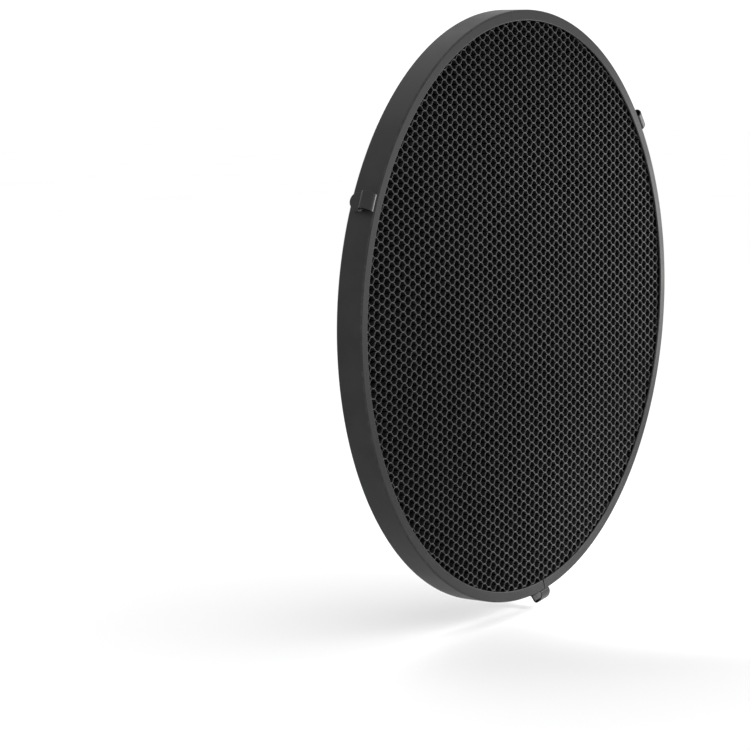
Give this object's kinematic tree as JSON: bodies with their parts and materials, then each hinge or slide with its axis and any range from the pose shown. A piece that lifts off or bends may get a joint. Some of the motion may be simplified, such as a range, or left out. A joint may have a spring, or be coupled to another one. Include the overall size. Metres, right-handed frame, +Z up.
{
  "type": "honeycomb grid",
  "caption": "Round black honeycomb light grid in a rolled channel frame, with sprung clips that hook over the rolled rim of a 550 mm beauty dish.",
  "frame": {"origin": "on the ring's axis, in the plane where the front of the dish's rolled rim lies against the clips", "axes": "+Y along the ring's axis from the front face towards the dish, +Z up, so the grid stands as in use and is seen from the front along +Y"},
  "size_m": [0.529, 0.025, 0.5392],
  "materials": {
    "frame": "satin black powder coat on aluminium channel",
    "foil": "matt black coated aluminium foil",
    "clip": "semi-gloss black paint on spring steel",
    "rivet": "black aluminium blind rivet",
    "stem": "broken steel stem end"
  },
  "bodies": {
    "root": {"frame_ring": "frame", "honeycomb_core": "foil", "joint_strap": "frame", "clip_right_base": "clip", "clip_left_base": "clip", "clip_bottom_base": "clip", "strap_rivet_1": "rivet", "strap_rivet_2": "rivet", "strap_rivet_3": "rivet", "strap_rivet_4": "rivet", "clip_right_rivet_a": "rivet", "clip_right_rivet_b": "rivet", "clip_left_rivet_a": "rivet", "clip_left_rivet_b": "rivet", "clip_bottom_rivet_a": "rivet", "clip_bottom_rivet_b": "rivet", "strap_rivet_1_stem": "stem", "strap_rivet_2_stem": "stem", "strap_rivet_3_stem": "stem", "strap_rivet_4_stem": "stem", "clip_right_rivet_a_stem": "stem", "clip_right_rivet_b_stem": "stem", "clip_left_rivet_a_stem": "stem", "clip_left_rivet_b_stem": "stem", "clip_bottom_rivet_a_stem": "stem", "clip_bottom_rivet_b_stem": "stem"},
    "clip_right": {"clip_right_arm": "clip"},
    "clip_left": {"clip_left_arm": "clip"},
    "clip_bottom": {"clip_bottom_arm": "clip"}
  },
  "joints": [
    {"name": "clip_right_flex", "type": "hinge", "parent": "root", "child": "clip_right", "pos_m": [0.21355, -0.00045, 0.16209], "axis": [0.6046, 0, -0.7965], "range_deg": [0, 20], "stiffness_Nm_per_rad": 8},
    {"name": "clip_left_flex", "type": "hinge", "parent": "root", "child": "clip_left", "pos_m": [-0.24642, -0.00045, 0.10562], "axis": [0.3939, 0, 0.9191], "range_deg": [0, 20], "stiffness_Nm_per_rad": 8},
    {"name": "clip_bottom_flex", "type": "hinge", "parent": "root", "child": "clip_bottom", "pos_m": [0.03731, -0.00045, -0.26549], "axis": [-0.9903, 0, -0.1392], "range_deg": [0, 20], "stiffness_Nm_per_rad": 8}
  ]
}
